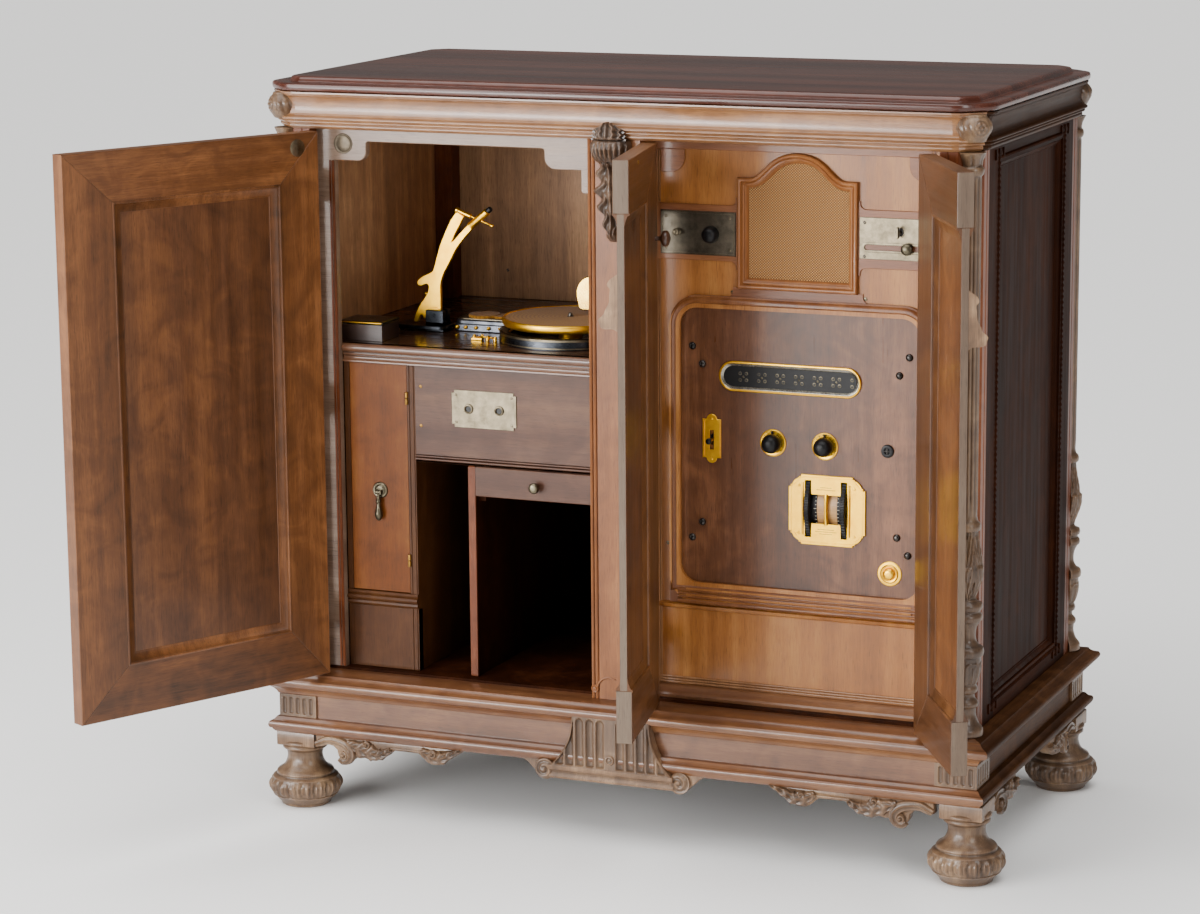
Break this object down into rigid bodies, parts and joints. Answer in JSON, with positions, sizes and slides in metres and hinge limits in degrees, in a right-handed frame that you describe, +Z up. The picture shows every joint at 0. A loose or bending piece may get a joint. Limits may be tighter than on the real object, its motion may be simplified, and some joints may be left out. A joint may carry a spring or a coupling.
{
  "type": "gramophone cabinet",
  "caption": "Carved walnut console cabinet with doors over a turntable chamber, record slots and a radio panel",
  "frame": {"origin": "on the floor, at the middle of the footprint with the doors standing open", "axes": "+X to the cabinet's left as seen by someone behind it (right in front view), +Y to the back, +Z up"},
  "size_m": [1.3454, 1.0394, 1.17],
  "materials": {
    "red_walnut": "polished red-brown walnut",
    "walnut": "satin lacquered walnut",
    "dark_walnut": "dark stained walnut",
    "carved_walnut": "turned and carved walnut",
    "board_walnut": "orange-brown lacquered walnut",
    "figured_walnut": "figured walnut veneer",
    "gold_plate": "gold plated brass",
    "dark_plate": "oxidised brass plate",
    "cast_metal": "painted casting",
    "bakelite": "moulded phenolic",
    "felt": "brown felt",
    "grille_cloth": "gold-brown woven cloth"
  },
  "bodies": {
    "cabinet": {"accessory_box": "dark_walnut", "back_panel": "dark_walnut", "bottom_board": "dark_walnut", "centre_carving": "carved_walnut", "centre_stile": "walnut", "changer_base": "cast_metal", "changer_bed": "cast_metal", "column_front_left": "carved_walnut", "column_front_right": "carved_walnut", "control_panel": "figured_walnut", "cornice": "walnut", "deck_board": "walnut", "dial_plate": "gold_plate", "foot_back_left": "carved_walnut", "foot_back_right": "carved_walnut", "foot_front_left": "carved_walnut", "foot_front_right": "carved_walnut", "grille_cloth": "grille_cloth", "grille_frame": "board_walnut", "jack_panel": "walnut", "left_face_frame": "walnut", "left_side": "dark_walnut", "lock_plate": "gold_plate", "loudspeaker": "cast_metal", "motor_unit": "cast_metal", "partition": "dark_walnut", "plinth_back": "walnut", "plinth_front": "walnut", "plinth_left": "walnut", "plinth_right": "walnut", "post_back_left": "walnut", "post_back_right": "walnut", "post_front_left": "walnut", "post_front_right": "walnut", "radio_board": "board_walnut", "receiver_chassis": "cast_metal", "record_divider": "dark_walnut", "record_front": "walnut", "right_side": "dark_walnut", "selector_plate": "dark_plate", "top_board": "red_walnut"},
    "left_door": {"left_door": "walnut"},
    "middle_door": {"middle_door": "walnut"},
    "right_door": {"right_door": "walnut"},
    "narrow_door": {"narrow_door": "walnut"},
    "drop_pull": {"drop_pull": "gold_plate"},
    "drawer": {"drawer": "walnut"},
    "platter": {"platter": "felt"},
    "changer_arm": {"changer_arm": "gold_plate"},
    "pickup_arm": {"pickup_arm": "gold_plate"},
    "box_lid": {"box_lid": "gold_plate"},
    "selector_knob": {"selector_knob": "bakelite"},
    "lock_key": {"lock_key": "gold_plate"},
    "slider_knob": {"slider_knob": "gold_plate"},
    "toggle_lever": {"toggle_lever": "gold_plate"},
    "rheostat_knob_left": {"rheostat_knob_left": "bakelite"},
    "rheostat_knob_right": {"rheostat_knob_right": "bakelite"},
    "tuning_wheel_left": {"tuning_wheel_left": "bakelite"},
    "tuning_wheel_right": {"tuning_wheel_right": "bakelite"},
    "push_button": {"push_button": "bakelite"}
  },
  "joints": [
    {"name": "left_door_hinge", "type": "hinge", "parent": "cabinet", "child": "left_door", "pos_m": [-0.4671, -0.09226, 0.66], "axis": [0, 0, -1], "range_deg": [-116.3, 8.7]},
    {"name": "middle_door_hinge", "type": "hinge", "parent": "cabinet", "child": "middle_door", "pos_m": [0.0839, -0.09226, 0.66], "axis": [0, 0, -1], "range_deg": [-78.2, 21.8]},
    {"name": "right_door_hinge", "type": "hinge", "parent": "cabinet", "child": "right_door", "pos_m": [0.5469, -0.09226, 0.66], "axis": [0, 0, 1], "range_deg": [-121, 4]},
    {"name": "narrow_door_hinge", "type": "hinge", "parent": "cabinet", "child": "narrow_door", "pos_m": [-0.3276, -0.04826, 0.54], "axis": [0, 0, 1], "range_deg": [0, 90]},
    {"name": "drop_pull_swing", "type": "hinge", "parent": "narrow_door", "child": "drop_pull", "pos_m": [-0.3771, -0.05426, 0.518], "axis": [-1, 0, 0], "range_deg": [0, 60]},
    {"name": "drawer_slide", "type": "slide", "parent": "cabinet", "child": "drawer", "axis": [0, -1, 0], "range_m": [0, 0.16]},
    {"name": "platter_spin", "type": "hinge", "parent": "cabinet", "child": "platter", "pos_m": [-0.1121, 0.10174, 0.788], "axis": [0, 0, 1], "continuous": true},
    {"name": "changer_arm_tilt", "type": "hinge", "parent": "cabinet", "child": "changer_arm", "pos_m": [-0.3481, 0.10974, 0.781], "axis": [0, 1, 0], "range_deg": [0, 40]},
    {"name": "pickup_arm_swing", "type": "hinge", "parent": "cabinet", "child": "pickup_arm", "pos_m": [-0.0051, 0.29474, 0.8], "axis": [0, 0, 1], "range_deg": [-2, 18]},
    {"name": "box_lid_hinge", "type": "hinge", "parent": "cabinet", "child": "box_lid", "pos_m": [-0.4176, 0.03974, 0.7808], "axis": [-1, 0, 0], "range_deg": [0, 100]},
    {"name": "selector_turn", "type": "hinge", "parent": "cabinet", "child": "selector_knob", "pos_m": [0.1769, -0.03026, 0.9486], "axis": [0, 1, 0], "range_deg": [-150, 150]},
    {"name": "lock_key_turn", "type": "hinge", "parent": "cabinet", "child": "lock_key", "pos_m": [0.4719, -0.03026, 0.965], "axis": [0, 1, 0], "range_deg": [0, 90]},
    {"name": "slider_slide", "type": "slide", "parent": "cabinet", "child": "slider_knob", "axis": [-1, 0, 0], "range_m": [-0.024, 0.055]},
    {"name": "toggle_tilt", "type": "hinge", "parent": "cabinet", "child": "toggle_lever", "pos_m": [0.1776, -0.03026, 0.636], "axis": [1, 0, 0], "range_deg": [0, 30]},
    {"name": "rheostat_left_turn", "type": "hinge", "parent": "cabinet", "child": "rheostat_knob_left", "pos_m": [0.2759, -0.03026, 0.638], "axis": [0, 1, 0], "range_deg": [-150, 150]},
    {"name": "rheostat_right_turn", "type": "hinge", "parent": "cabinet", "child": "rheostat_knob_right", "pos_m": [0.3583, -0.03026, 0.638], "axis": [0, 1, 0], "range_deg": [-150, 150]},
    {"name": "tuning_left_turn", "type": "hinge", "parent": "cabinet", "child": "tuning_wheel_left", "pos_m": [0.3327, 0.02174, 0.542], "axis": [1, 0, 0], "range_deg": [-90, 90]},
    {"name": "tuning_right_turn", "type": "hinge", "parent": "cabinet", "child": "tuning_wheel_right", "pos_m": [0.3894, 0.02174, 0.542], "axis": [1, 0, 0], "range_deg": [-90, 90]},
    {"name": "push_button_press", "type": "slide", "parent": "cabinet", "child": "push_button", "axis": [0, 1, 0], "range_m": [0, 0.004], "stiffness_N_per_m": 300}
  ]
}
